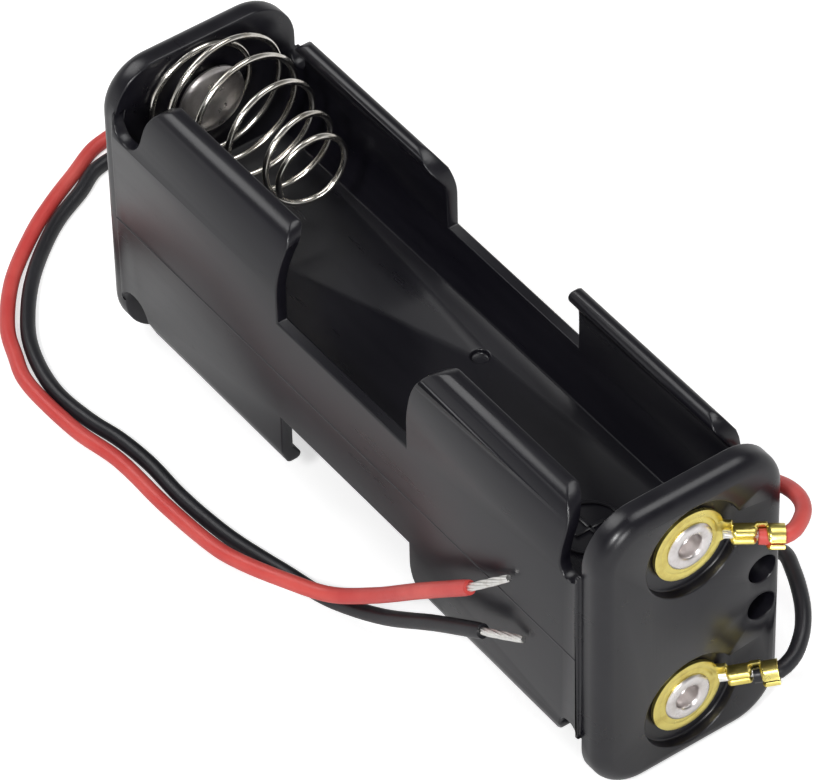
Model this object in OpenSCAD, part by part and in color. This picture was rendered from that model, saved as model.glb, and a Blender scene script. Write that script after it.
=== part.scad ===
// Back-to-back holder for two cylindrical cells, with riveted contacts,
// conical springs, a series link, crimp lugs and two flying leads.
// X runs along the cells, Z is up, and the origin lies under the middle of the
// holder, on the surface that the two end plates stand on.

/* [Cells] */
// Diameter of the largest cell that the clips grip
cell_d = 14.5; // [14:0.1:15]
// Distance between the axes of the upper and the lower cell
cell_pitch = 15.2; // [15:0.1:16]
// Radial clearance between the cell and the side walls
cell_clear = 0.25; // [0.1:0.05:0.5]

/* [End plates] */
// Length over the outer faces of the end plates
body_l = 60.7; // [58:0.1:66]
// Width of an end plate
plate_w = 16.2; // [15.6:0.1:16.8]
// Height of an end plate
plate_h = 26.2; // [25.8:0.1:27.4]
// Thickness of an end plate
plate_t = 2.2; // [2:0.1:3]
// Radius of the four corners of an end plate
plate_corner_r = 4; // [3:0.25:5]
// Radius of the outer edge of an end plate
plate_edge_r = 1.25; // [0.6:0.05:1.5]

/* [Shell] */
// Thickness of the side walls and clips
wall_t = 1; // [0.8:0.05:1.2]
// Thickness of the web between the two cells
web_t = 1.6; // [1.2:0.1:2]
// How much thicker a side wall is at its foot, on the web
foot_w = 1.15; // [0.4:0.05:1.5]
// Height over which a side wall thins from its foot
foot_h = 3.6; // [2:0.1:5]
// Height of the low wall between two tall clips, above the parting plane
tall_rim = 5.1; // [4:0.1:5.5]
// Height of the low wall between two short clips
short_rim = 4.5; // [4:0.1:5.5]

/* [Clips] */
// Length of the clip beside the wide notch
clip_a_l = 17.4; // [15:0.1:18.5]
// Length of the clip beside the narrow notch
clip_b_l = 17.8; // [15:0.1:19]
// Width of the wide notch between a clip and its end plate
notch_a_w = 3.45; // [2.2:0.05:3.8]
// Width of the narrow notch between a clip and its end plate
notch_b_w = 1.95; // [0.8:0.05:2.4]
// Height of the bottom of a wide notch beside a tall clip
notch_a_floor = 8.3; // [7.5:0.1:8.6]
// Height of the bottom of a narrow notch beside a tall clip
notch_b_floor = 7.3; // [6.5:0.1:8.6]
// Height of the bottoms of the notches beside the short clips
notch_c_floor = 6.9; // [6:0.1:8]
// How far the crown of a tall clip lies below the edge of the end plates
crown_drop = 0.2; // [0.1:0.05:0.5]
// Radius of the rolled outer edge of a tall clip
tall_tip_r = 1.5; // [1:0.1:1.8]
// Radius of the bead along the edge of a short clip
bead_r = 0.65; // [0.55:0.05:0.75]
// Angle of the bead past the cell's axis, on the upper short clips
bead_angle_upper = 19; // [9:0.5:24]
// The same angle on the lower short clips
bead_angle_lower = 10; // [9:0.5:24]

/* [Contacts] */
// Radius of the round recess round each rivet
recess_r = 4.1; // [3.5:0.1:4.4]
// Depth of the recesses in the outer faces of the end plates
recess_d = 0.85; // [0.7:0.05:1.2]
// Radius of a rivet's shank
shank_r = 1.4; // [1.2:0.05:1.5]
// Radius of a rivet's head, inside the cell bay
head_r = 2.9; // [2.5:0.1:3.2]
// Thickness of a rivet's head
head_t = 0.5; // [0.4:0.05:0.7]
// Radius of a rivet's rolled-over end
flare_r = 1.95; // [1.8:0.05:2.1]
// Radius of the hollow in a rivet's end
hollow_r = 1; // [0.8:0.05:1.1]
// Depth of that hollow below the floor of the recess
hollow_d = 0.9; // [0.5:0.1:1]
// Thickness of the sheet brass of the lugs and the series link
brass_t = 0.33; // [0.3:0.01:0.44]
// Radius of a lug's ring and of the series link's ends
ring_r = 3; // [2.6:0.1:3.2]

/* [Springs] */
// Diameter of the spring wire
wire_d = 0.5; // [0.4:0.05:0.7]
// Length of a free spring, from the end plate to its tip
spring_l = 12.5; // [11:0.1:15]
// Radius of the first free coil, at its wire's centre
coil_big_r = 5.45; // [4.8:0.05:5.5]
// Radius of the last coil, at its wire's centre
coil_small_r = 2.95; // [2.4:0.05:3.2]
// Number of rising coils
coil_turns = 4.37; // [4:0.01:6]
// How strongly the coils crowd at the end plate; 1 spaces them evenly
coil_pitch = 1.29; // [1:0.01:1.6]
// How late the coils narrow; 1 narrows them evenly
coil_taper = 1.88; // [1:0.01:2.2]
// How far the free coils stand above and beside their rivet's axis
coil_off = 0.35; // [0:0.05:0.4]
// How much further a free spring's tip leans over, towards its open side
spring_lean = 0.5; // [0:0.05:1]

/* [Lugs and leads] */
// Angle at which a lug's crimp rises from the end plate
lug_rise = 33; // [25:1:40]
// Distance from a rivet's axis to the bend of its lug
lug_bend = 2.7; // [2.5:0.1:3.2]
// Diameter of a lead over its insulation
lead_d = 1.2; // [1.1:0.05:1.3]
// Diameter of a lead's bundle of tinned strands
strand_d = 0.65; // [0.5:0.05:0.8]
// Diameter of the holes for leads in the lug-end plate
lead_hole_d = 2.4; // [2:0.1:2.6]

/* [Hidden] */

$fn = 72;
eps = 0.02;                                   // overlap that joins two solids

// Shell, measured from the middle of the parting plane
bay_l = body_l - 2 * plate_t;                 // between the inner faces of the plates
bay_half = bay_l / 2;
cell_z = cell_pitch / 2;
wall_ri = cell_d / 2 + cell_clear;            // inner radius of the clips
wall_ro = wall_ri + wall_t;
crown_z = plate_h / 2 - crown_drop;
web_z = web_t / 2;

// Tall clip: an outer roll of radius tall_tip_r that meets the outer arc tangentially
roll_z = crown_z - tall_tip_r;
roll_y = sqrt(pow(wall_ro - tall_tip_r, 2) - pow(roll_z - cell_z, 2));
roll_start = atan2(roll_z - cell_z, roll_y);
roll_end = 110;
inner_end = atan2(roll_z + tall_tip_r * sin(roll_end) - cell_z,
                  roll_y + tall_tip_r * cos(roll_end));

// Short clip: a bead on the inner arc
bead_blend = 6;                               // angle over which the outer arc runs into the bead
bead_offset = 0.1;                            // from the wall's inner face outwards to its centre

// Corner radii of the clips, seen from the side, from the wide notch to the narrow one
tall_radii = [2.2, 1.4, 3, 2.5];
short_radii = [2.5, 0.4, 3.2, 1.5];

// Contacts, measured outwards from the floor of a recess
shank_gap = 0.05;
floor_t = plate_t - recess_d;                 // plastic left under a recess
wire_gap = 0.02;                              // between the spring's clamped turn and its seats
clamp_gap = wire_d + 2 * wire_gap;            // space under a head that clamps a spring
lug_slot_w = 3.2;
lug_turn_red = -4;                            // each lug's turn about its rivet
lug_turn_black = 12;
link_w = 5;
slot_play = 0.4;                              // clearance beyond a recess before its slot rises
slot_run = 2.4;                               // length of the slot's slope for each unit of rise

// Crimps, along the lug's rising axis
strip_w = 1.5;
neck_w = 2;
wire_play = 0.03;                             // between a wire and the strip that it lies on
lead_lift = lead_d / 2 + wire_play;           // axis of the lead above the lug's strip
strand_lift = strand_d / 2 + wire_play;       // axis of its strands
barrel_play = 0.02;                           // between a wire and the barrel round it
crimp_a = 0.8;                                // strand barrel starts
crimp_b = 2.4;                                // strand barrel ends
crimp_c = 2.55;                               // insulation starts
crimp_d = 3.3;                                // insulation barrel starts
crimp_e = 4.4;                                // insulation barrel ends
strand_show = 0.1;                            // strands' visible end, ahead of the barrel
strand_barrel = [0.28, 0.33];                 // thickness of its shell, radius of its lobes
lead_barrel = [0.26, 0.4];

// Springs: turns counted from where the coil leaves the plate; the turns before it lie flat
clamp_turns = 1.25;
spread_turns = 0.75;                          // part of the flat turns that spreads to full width
closing_turns = 0.75;
clamp_coil_r = shank_r + wire_d / 2 + 0.35;
spring_sides = 8;
spring_steps = 20;                            // rings in one turn
spring_phase = 156;                           // where the first free coil starts

// Rivets
lip_t = 0.28;                                 // height of the rolled lip above the brass
head_round = 0.2;

// Lead holes and the gate mark
lead_hole_y = 6.1;
lead_hole_z = 1.85;
gate_mark = [0.6, 3.7];
gate_r = 0.7;
gate_d = 0.4;

lead_sides = 8;

// Routes of the two leads, from the lug to the stripped tip, in the holder's own frame
route_red = [
    [31.75, 4.48, 20.39], [32.27, 5.28, 20.33], [32.66, 6.05, 20.28], [32.56, 6.99, 20.2],
    [31.9, 8.1, 20], [31.14, 8.93, 19.75], [30.11, 9.58, 19.4], [29.01, 9.98, 19],
    [27.73, 10.23, 18.45], [26.55, 10.38, 17.8], [24, 11.3, 15.7], [20.6, 13.1, 11.4],
    [17.4, 14.8, 6.5], [14.4, 15.8, 3], [11, 16.4, 1.1], [6, 16.6, 0.63],
    [-8, 16.6, 0.6], [-20, 16.3, 0.6], [-30, 15.3, 0.6], [-38, 13.5, 0.6],
    [-44.2, 10.1, 0.6], [-47.1, 5.8, 0.6], [-47.14, 1.99, 0.6], [-45.47, -1.47, 0.6],
    [-43.72, -4.79, 0.6], [-41.79, -7.79, 0.6], [-38.52, -11.74, 0.6], [-34.65, -14.76, 0.6],
    [-31.6, -16.09, 0.6], [-28.29, -17.04, 0.6], [-22.3, -16.93, 0.6], [-17.56, -16.12, 0.6],
    [-11.81, -16.04, 0.6], [-6.31, -15.83, 0.95], [-3.22, -15.32, 1.3], [0.66, -14.05, 1.8],
    [4.19, -12.55, 2.3], [8.3, -11.45, 4.95], [13.03, -10.86, 9.01], [18.1, -10.2, 13.2]
];
route_black = [
    [31.75, 4.4, 6.43], [32.27, 5.18, 6.6], [32.68, 5.95, 6.76], [32.5, 7.12, 6.95],
    [32.09, 8.02, 7.2], [31.16, 9.2, 7.5], [29.81, 10.32, 7.7], [28.14, 11.33, 7.7],
    [26.12, 12.37, 7.4], [23.98, 13.27, 6.8], [21.2, 13.6, 4.8], [17.4, 14.2, 2.5],
    [13.4, 14.4, 0.95], [8, 14.3, 0.63], [-6, 14, 0.6], [-18, 13.6, 0.6],
    [-28, 12.6, 0.6], [-36, 10.6, 0.6], [-42, 7.2, 0.6], [-44.9, 3.4, 0.6],
    [-44.95, 0.4, 0.6], [-43.55, -2.05, 0.6], [-41.94, -5.22, 0.6], [-39.88, -8.04, 0.6],
    [-37.6, -10.52, 0.6], [-35.06, -12.61, 0.6], [-32.28, -14.33, 0.6], [-29.07, -15.42, 0.6],
    [-25.91, -15.84, 0.6], [-22.41, -15.51, 0.6], [-19.42, -14.85, 0.6], [-15.97, -14.52, 0.6],
    [-11.95, -14.61, 0.6], [-8.39, -14.4, 0.6], [-5.19, -13.96, 0.6], [-0.91, -12.98, 0.63],
    [3.44, -12.07, 0.85], [8.6, -11.12, 2.8], [14.17, -10.43, 6.4], [19.2, -9.9, 9.5]
];
// Direction and length of each stripped tip
tip_red = [3, 1.2, 2.7];
tip_black = [3.4, 1, 1.4];

// ---- Shared functions ----

function arc(c, r, a0, a1, n) =
    [for (i = [0:n]) [c[0] + r * cos(a0 + (a1 - a0) * i / n), c[1] + r * sin(a0 + (a1 - a0) * i / n)]];

function flip(pts) = [for (i = [len(pts) - 1:-1:0]) [pts[i][0], -pts[i][1]]];

function unit(v) = v / norm(v);

function tangent(path, i) =
    unit(path[min(i + 1, len(path) - 1)] - path[max(i - 1, 0)]);

// A closed tube of radius r round a path; each ring stands square to the path
module tube(path, r, sides, side_hint) {
    n = len(path);
    rings = [
        for (i = [0:n - 1])
            let (t = tangent(path, i),
                 u = unit(cross(t, side_hint(path[i], t))),
                 v = cross(t, u))
            [for (k = [0:sides - 1]) path[i] + r * (cos(360 * k / sides) * u + sin(360 * k / sides) * v)]
    ];
    points = [for (ring = rings) for (p = ring) p];
    faces = concat(
        [[for (k = [0:sides - 1]) k]],
        [for (i = [0:n - 2]) for (k = [0:sides - 1])
            let (a = i * sides + k, b = i * sides + (k + 1) % sides)
            [a, a + sides, b + sides, b]],
        [[for (k = [sides - 1:-1:0]) (n - 1) * sides + k]]
    );
    polyhedron(points, faces);
}

// Everything is drawn about the middle of the parting plane and lifted to stand on its plates
module stand() {
    translate([0, 0, plate_h / 2]) children();
}

// Carries a shape from the lug end to the link end
module at_end(sign) {
    if (sign > 0) children();
    else mirror([1, 0, 0]) children();
}

// ---- Shell ----

// Half of a wall's cross-section, above the parting plane: distance from the axis, height
function tall_half() = concat(
    [[wall_ro, 0]],
    arc([0, cell_z], wall_ro, 0, roll_start, 9),
    arc([roll_y, roll_z], tall_tip_r, roll_start + 8, roll_end, 8),
    arc([0, cell_z], wall_ri, inner_end - 4, 0, 11),
    [[wall_ri, 0]]
);

function bead_centre(angle) =
    [0, cell_z] + (wall_ri + bead_offset) * [cos(angle), sin(angle)];

function short_half(angle) = concat(
    [[wall_ro, 0]],
    arc([0, cell_z], wall_ro, 0, angle - bead_blend, 3),
    arc(bead_centre(angle), bead_r, angle + 4, angle + 174, 9),
    arc([0, cell_z], wall_ri, angle / 3, 0, 3),
    [[wall_ri, 0]]
);

// Part of a wall's outline seen from the side, over one clip: position along X, height
function clip_side(x0, x1, r0, r1, top) = concat(
    arc([x0 + r0, top - r0], r0, 180, 90, 10),
    arc([x1 - r1, top - r1], r1, 90, 0, 10)
);

function outline_half(top, radii, rim, floor_a, floor_b) =
    let (a0 = -bay_half + notch_a_w,
         a1 = a0 + clip_a_l,
         b1 = bay_half - notch_b_w,
         b0 = b1 - clip_b_l,
         ra = notch_a_w / 2,
         rb = notch_b_w / 2)
    concat(
        [[-bay_half - eps, 0], [-bay_half - eps, floor_a + ra], [-bay_half, floor_a + ra]],
        arc([-bay_half + ra, floor_a + ra], ra, 180, 360, 12),
        clip_side(a0, a1, min(radii[0], top - floor_a - ra), radii[1], top),
        [[a1, rim], [b0, rim]],
        clip_side(b0, b1, radii[2], min(radii[3], top - floor_b - rb), top),
        arc([bay_half - rb, floor_b + rb], rb, 180, 360, 8),
        [[bay_half + eps, floor_b + rb], [bay_half + eps, 0]]
    );

// The wall on the near side: tall clips above, short clips below
module side_wall(bead_angle) {
    bead_top = bead_centre(bead_angle)[1] + bead_r;
    section = concat(tall_half(), flip(short_half(bead_angle)));
    tall = outline_half(crown_z + 0.01, tall_radii, tall_rim, notch_a_floor, notch_b_floor);
    short = outline_half(bead_top + 0.01, short_radii, short_rim, notch_c_floor, notch_c_floor);
    intersection() {
        rotate([90, 0, -90])
            linear_extrude(bay_l + 1, center = true)
                polygon(section);
        rotate([90, 0, 0])
            linear_extrude(wall_ro + 1)
                polygon(concat(tall, flip(short)));
    }
}

// Web with the thickened feet of the side walls, seen along X
module web_section() {
    side = wall_ri + eps;
    half = [[-side, web_z + foot_h], [foot_w - side, web_z], [side - foot_w, web_z], [side, web_z + foot_h]];
    polygon(concat(half, flip(half)));
}

module web() {
    rotate([90, 0, -90])
        linear_extrude(bay_l + 2 * eps, center = true)
            web_section();
}

// A bar of the plate's thickness, rounded along both outer edges, from its inner face up
module plate_bar(w) {
    square_w = w - 2 * plate_edge_r;
    intersection() {
        translate([-w / 2, 0]) square([w, plate_t]);
        union() {
            translate([-w / 2, 0]) square([w, plate_t - plate_edge_r]);
            translate([-square_w / 2, 0]) square([square_w, plate_t]);
            for (side = [-1, 1])
                translate([side * square_w / 2, plate_t - plate_edge_r]) circle(plate_edge_r);
        }
    }
}

module plate_post() {
    rotate_extrude()
        intersection() {
            plate_bar(2 * plate_corner_r);
            square([plate_corner_r, plate_t]);
        }
}

// Plate in its own frame: X and Y across it, Z outwards from its inner face
module plate_blank() {
    inner_w = plate_w - 2 * plate_corner_r;
    inner_h = plate_h - 2 * plate_corner_r;
    for (x = [-1, 1], y = [-1, 1])
        translate([x * inner_h / 2, y * inner_w / 2, 0]) plate_post();
    rotate([90, 0, 0])
        linear_extrude(inner_w, center = true) plate_bar(plate_h);
    rotate([90, 0, 90])
        linear_extrude(inner_h, center = true) plate_bar(plate_w);
}

// Plate at the lug end, before its recesses
module end_plate() {
    translate([bay_half, 0, 0])
        rotate([0, 90, 0]) plate_blank();
}

// Round recess and rivet hole, at the lug end
module rivet_seat(z) {
    translate([bay_half + floor_t, 0, z]) rotate([0, 90, 0]) cylinder(recess_d + 1, r = recess_r);
    translate([bay_half - 1, 0, z]) rotate([0, 90, 0]) cylinder(plate_t + 1, r = shank_r + shank_gap);
}

// Sloping slot through which a lug's crimp rises out of its recess
module lug_slot(z, turn) {
    foot = recess_r + slot_play;
    ramp = [[0, 0], [foot, 0], [foot + slot_run * recess_d, recess_d],
            [plate_w, recess_d + 1], [0, recess_d + 1]];
    translate([bay_half + floor_t, 0, z])
        rotate([turn, 0, 0])
            rotate([0, 0, 90]) mirror([0, 1, 0])
                linear_extrude(lug_slot_w, center = true)
                    polygon(ramp);
}

// Channel that holds the series link
module link_channel() {
    translate([bay_half + floor_t, -recess_r, -cell_z]) cube([recess_d + 1, 2 * recess_r, cell_pitch]);
}

module holder_body() {
    color([0.09, 0.09, 0.11])
        stand()
            difference() {
                union() {
                    web();
                    side_wall(bead_angle_lower);
                    mirror([1, 0, 0]) mirror([0, 1, 0]) mirror([0, 0, 1]) side_wall(bead_angle_upper);
                    for (sign = [-1, 1]) at_end(sign) end_plate();
                }
                for (sign = [-1, 1], z = [-cell_z, cell_z]) at_end(sign) rivet_seat(z);
                lug_slot(cell_z, lug_turn_red);
                lug_slot(-cell_z, lug_turn_black);
                at_end(-1) link_channel();
                for (z = [-lead_hole_z, lead_hole_z])
                    translate([bay_half - 1, lead_hole_y, z])
                        rotate([0, 90, 0]) cylinder(plate_t + 2, r = lead_hole_d / 2);
                translate([gate_mark[0], gate_mark[1], web_z - gate_d]) cylinder(1, r = gate_r);
            }
}

// ---- Springs ----

// Share of the way to the tip after so many turns
function coil_share(t) = max(0, min(t / coil_turns, 1));

// Share of the way from the clamped turn to the first free coil
function spread_share(t) = max(0, min((t + spread_turns) / spread_turns, 1));

function coil_r(t) =
    t < 0 ? clamp_coil_r + (coil_big_r - clamp_coil_r) * spread_share(t)
    : coil_big_r + (coil_small_r - coil_big_r) * pow(coil_share(t), coil_taper);

function coil_x(t) =
    let (rise = spring_l - wire_d - wire_gap)
    wire_gap + wire_d / 2 + rise * pow(coil_share(t), coil_pitch);

function spring_path(off) =
    let (turns = clamp_turns + coil_turns + closing_turns,
         n = round(turns * spring_steps))
    [for (i = [0:n])
        let (t = -clamp_turns + turns * i / n,
             a = spring_phase + 360 * t,
             lean = spring_lean * coil_share(t),
             centre = spread_share(t) * off + [lean, lean])
        [coil_x(t), centre[0] + coil_r(t) * cos(a), centre[1] + coil_r(t) * sin(a)]];

module spring(off) {
    color([0.78, 0.76, 0.7])
        tube(spring_path(off), wire_d / 2, spring_sides, function (p, t) [1, 0, 0]);
}

module spring_upper() {
    stand() translate([-bay_half, 0, cell_z]) spring([coil_off, coil_off]);
}

module spring_lower() {
    stand() translate([bay_half, 0, -cell_z]) rotate([0, 180, 0]) spring([coil_off, -coil_off]);
}

// ---- Rivets ----

// Semi-tubular rivet, standing on the floor of its recess and pointing outwards.
// Its rolled end holds the brass sheet, and its head lies inside the cell bay.
module rivet(stand_off) {
    under = -floor_t - stand_off;
    top = brass_t;
    profile = [
        [0, under - head_t * 1.2], [head_r * 0.6, under - head_t * 1.12],
        [head_r - head_round, under - head_t * 0.92], [head_r, under - head_t + head_round],
        [head_r, under], [shank_r, under], [shank_r, top], [flare_r, top],
        [flare_r + lip_t * 0.1, top + lip_t * 0.4], [flare_r - lip_t * 0.35, top + lip_t * 0.8],
        [flare_r - lip_t, top + lip_t], [hollow_r + lip_t * 1.25, top + lip_t],
        [hollow_r + lip_t * 0.35, top + lip_t * 0.75], [hollow_r, top], [hollow_r, -hollow_d],
        [0, -hollow_d * 1.15]
    ];
    color([0.8, 0.79, 0.76])
        rotate([0, 90, 0]) rotate_extrude() polygon(profile);
}

module seated_rivet(sign, z, stand_off) {
    stand() at_end(sign) translate([bay_half + floor_t, 0, z]) rivet(stand_off);
}

module rivet_upper_lug_end() {
    seated_rivet(1, cell_z, 0);
}

module rivet_lower_lug_end() {
    seated_rivet(1, -cell_z, clamp_gap);
}

module rivet_upper_link_end() {
    seated_rivet(-1, cell_z, clamp_gap);
}

module rivet_lower_link_end() {
    seated_rivet(-1, -cell_z, 0);
}

// ---- Brass sheet parts ----

module series_link() {
    color([0.82, 0.68, 0.3])
        stand() translate([-bay_half - floor_t, 0, 0]) rotate([0, -90, 0])
            linear_extrude(brass_t)
                difference() {
                    union() {
                        for (z = [-cell_z, cell_z]) translate([z, 0]) circle(ring_r);
                        square([cell_pitch, link_w], center = true);
                    }
                    for (z = [-cell_z, cell_z]) translate([z, 0]) circle(shank_r + shank_gap);
                }
}

// Section of a crimped barrel across the wire: a cup with two lobes rolled in over the wire
module barrel_section(wire_r, lift, barrel) {
    hole_r = wire_r + barrel_play;
    outer = hole_r + barrel[0];
    lobe_r = barrel[1];
    difference() {
        union() {
            circle(outer);
            for (side = [-1, 1])
                translate([side * (outer - lobe_r * 0.85), outer * 0.72]) circle(lobe_r);
            translate([-outer, -lift - brass_t]) square([2 * outer, lift + brass_t]);
        }
        circle(hole_r);
        translate([0, outer + lobe_r])
            rotate(45) square(lobe_r * 1.1, center = true);
        translate([-barrel_play, 0]) square([2 * barrel_play, outer + lobe_r]);
    }
}

// Lug lying on the floor of its recess: ring, bend, strip and the two crimped barrels
module lug() {
    bend_l = brass_t * tan(lug_rise / 2);
    rotate([0, 90, 0])
        linear_extrude(brass_t)
            difference() {
                union() {
                    circle(ring_r);
                    translate([-neck_w / 2, 0]) square([neck_w, lug_bend]);
                }
                circle(shank_r + shank_gap);
            }
    crimp_frame(0)
        translate([-brass_t, -eps - bend_l / 2, -strip_w / 2])
            cube([brass_t, crimp_e + bend_l, strip_w]);
    crimp_frame(strand_lift)
        along(crimp_a, crimp_b) barrel_section(strand_d / 2, strand_lift, strand_barrel);
    crimp_frame(lead_lift)
        along(crimp_d, crimp_e) barrel_section(lead_d / 2, lead_lift, lead_barrel);
}

// Frame of the crimp: X outwards from the strip, Y along the wire, origin at this height over the strip
module crimp_frame(lift) {
    translate([brass_t, lug_bend, 0])
        rotate([0, 0, -lug_rise])
            translate([lift, 0, 0]) children();
}

// Extrudes a section that is drawn across the wire
module along(a, b) {
    translate([0, a, 0])
        rotate([0, 90, 0]) rotate([-90, 0, 0])
            linear_extrude(b - a) children();
}

// Carries a piece to the floor of a recess and turns it about the rivet
module lug_at(z, turn) {
    stand() translate([bay_half + floor_t, 0, z]) rotate([turn, 0, 0]) children();
}

module lug_red() {
    color([0.82, 0.68, 0.3]) lug_at(cell_z, lug_turn_red) lug();
}

module lug_black() {
    color([0.82, 0.68, 0.3]) lug_at(-cell_z, lug_turn_black) lug();
}

// ---- Leads ----

module strands_in_lug(z, turn) {
    color([0.8, 0.8, 0.8])
        lug_at(z, turn) crimp_frame(strand_lift)
            translate([0, strand_show, 0]) rotate([-90, 0, 0])
                cylinder(crimp_c - strand_show, r = strand_d / 2);
}

module strands_red_in_lug() {
    strands_in_lug(cell_z, lug_turn_red);
}

module strands_black_in_lug() {
    strands_in_lug(-cell_z, lug_turn_black);
}

module lead_red() {
    color([0.85, 0.13, 0.13])
        tube(route_red, lead_d / 2, lead_sides, function (p, t) [0, 0, 1]);
}

module lead_black() {
    color([0.05, 0.05, 0.06])
        tube(route_black, lead_d / 2, lead_sides, function (p, t) [0, 0, 1]);
}

// Stripped end of a lead, laid on from the end of its route
module stripped_tip(route, reach) {
    start = route[len(route) - 1];
    azimuth = atan2(reach[1], reach[0]);
    tilt = acos(reach[2] / norm(reach));
    color([0.8, 0.8, 0.8])
        translate(start) rotate([0, tilt, azimuth]) cylinder(norm(reach), r = strand_d / 2);
}

module strands_red_tip() {
    stripped_tip(route_red, tip_red);
}

module strands_black_tip() {
    stripped_tip(route_black, tip_black);
}

holder_body();
spring_upper();
spring_lower();
rivet_upper_lug_end();
rivet_lower_lug_end();
rivet_upper_link_end();
rivet_lower_link_end();
series_link();
lug_red();
lug_black();
lead_red();
lead_black();
strands_red_in_lug();
strands_black_in_lug();
strands_red_tip();
strands_black_tip();
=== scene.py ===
"""Studio scene of a back-to-back holder for two cylindrical cells, with its springs, lugs and leads."""

import logging
import math
from dataclasses import dataclass, field
from enum import Enum

import bmesh
import bpy
from mathutils import Matrix, Vector


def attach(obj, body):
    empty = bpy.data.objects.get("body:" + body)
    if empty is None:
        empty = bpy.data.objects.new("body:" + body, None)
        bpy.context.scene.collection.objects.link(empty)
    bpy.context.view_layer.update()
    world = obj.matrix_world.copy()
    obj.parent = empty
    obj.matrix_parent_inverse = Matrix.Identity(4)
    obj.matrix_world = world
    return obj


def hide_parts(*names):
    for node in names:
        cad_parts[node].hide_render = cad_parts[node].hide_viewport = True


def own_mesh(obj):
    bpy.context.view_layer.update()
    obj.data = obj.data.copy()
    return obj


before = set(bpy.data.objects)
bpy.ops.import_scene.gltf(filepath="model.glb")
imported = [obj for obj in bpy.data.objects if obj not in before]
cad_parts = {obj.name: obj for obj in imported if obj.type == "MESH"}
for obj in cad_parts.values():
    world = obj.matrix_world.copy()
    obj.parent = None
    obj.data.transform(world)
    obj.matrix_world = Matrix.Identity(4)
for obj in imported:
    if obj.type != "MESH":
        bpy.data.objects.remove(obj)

logging.basicConfig(level=logging.INFO, format="%(message)s")
log = logging.getLogger("cell_holder")

MM = 0.001
Point = tuple[float, float, float]
Flat = tuple[float, float]
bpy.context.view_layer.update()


@dataclass(frozen=True)
class Layout:
    """Places that several pieces share, in metres."""

    middle: float = 13.1 * MM
    axis: float = 7.6 * MM
    plate_inner: float = 28.15 * MM
    recess_floor: float = 29.5 * MM
    wall_outer: float = 8.5 * MM
    web_top: float = 13.9 * MM
    web_under: float = 12.3 * MM
    brass: float = 0.33 * MM
    shank: float = 1.4 * MM


PLAN = Layout()


# ---------------------------------------------------------------------------
# Node trees
# ---------------------------------------------------------------------------


class Tree:
    """Makes nodes in one node tree, for materials and for Geometry Nodes alike."""

    def __init__(self, nodes: bpy.types.NodeTree) -> None:
        """Args:
        nodes: the tree that the nodes go into.
        """
        self.tree = nodes

    def node(self, kind: str, settings: dict | None = None, inputs: dict | None = None) -> bpy.types.Node:
        """Makes one node.

        Args:
            kind: the node's type.
            settings: its own settings, set before its sockets.
            inputs: values or links of its sockets, by name or by number.

        Returns:
            The new node.
        """
        made = self.tree.nodes.new(kind)
        for name, value in (settings or {}).items():
            if name == "stops":
                self._stops(made.color_ramp, value)
            else:
                setattr(made, name, value)
        for key, value in (inputs or {}).items():
            self.feed(made.inputs[key], value)
        return made

    def feed(self, socket: bpy.types.NodeSocket, value: object) -> None:
        """Links or sets one socket.

        Args:
            socket: the socket to feed.
            value: a number, a tuple, an output socket or a Maths.
        """
        if isinstance(value, Maths):
            value = value.socket
        if isinstance(value, bpy.types.NodeSocket):
            self.tree.links.new(value, socket)
        elif isinstance(value, tuple) and len(value) == 3 and socket.type == "RGBA":
            socket.default_value = (*value, 1.0)
        else:
            socket.default_value = value

    def value(self, socket: bpy.types.NodeSocket) -> "Maths":
        """Wraps an output socket for use in expressions."""
        return Maths(self, socket)

    @staticmethod
    def _stops(ramp: bpy.types.ColorRamp, stops: list[tuple[float, tuple[float, ...]]]) -> None:
        """Sets a colour ramp's stops.

        Args:
            ramp: the ramp.
            stops: pairs of a position and a colour.
        """
        while len(ramp.elements) < len(stops):
            ramp.elements.new(0.5)
        for element, (place, colour) in zip(ramp.elements, stops):
            element.position = place
            element.color = (*colour, 1.0) if len(colour) == 3 else colour


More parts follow.
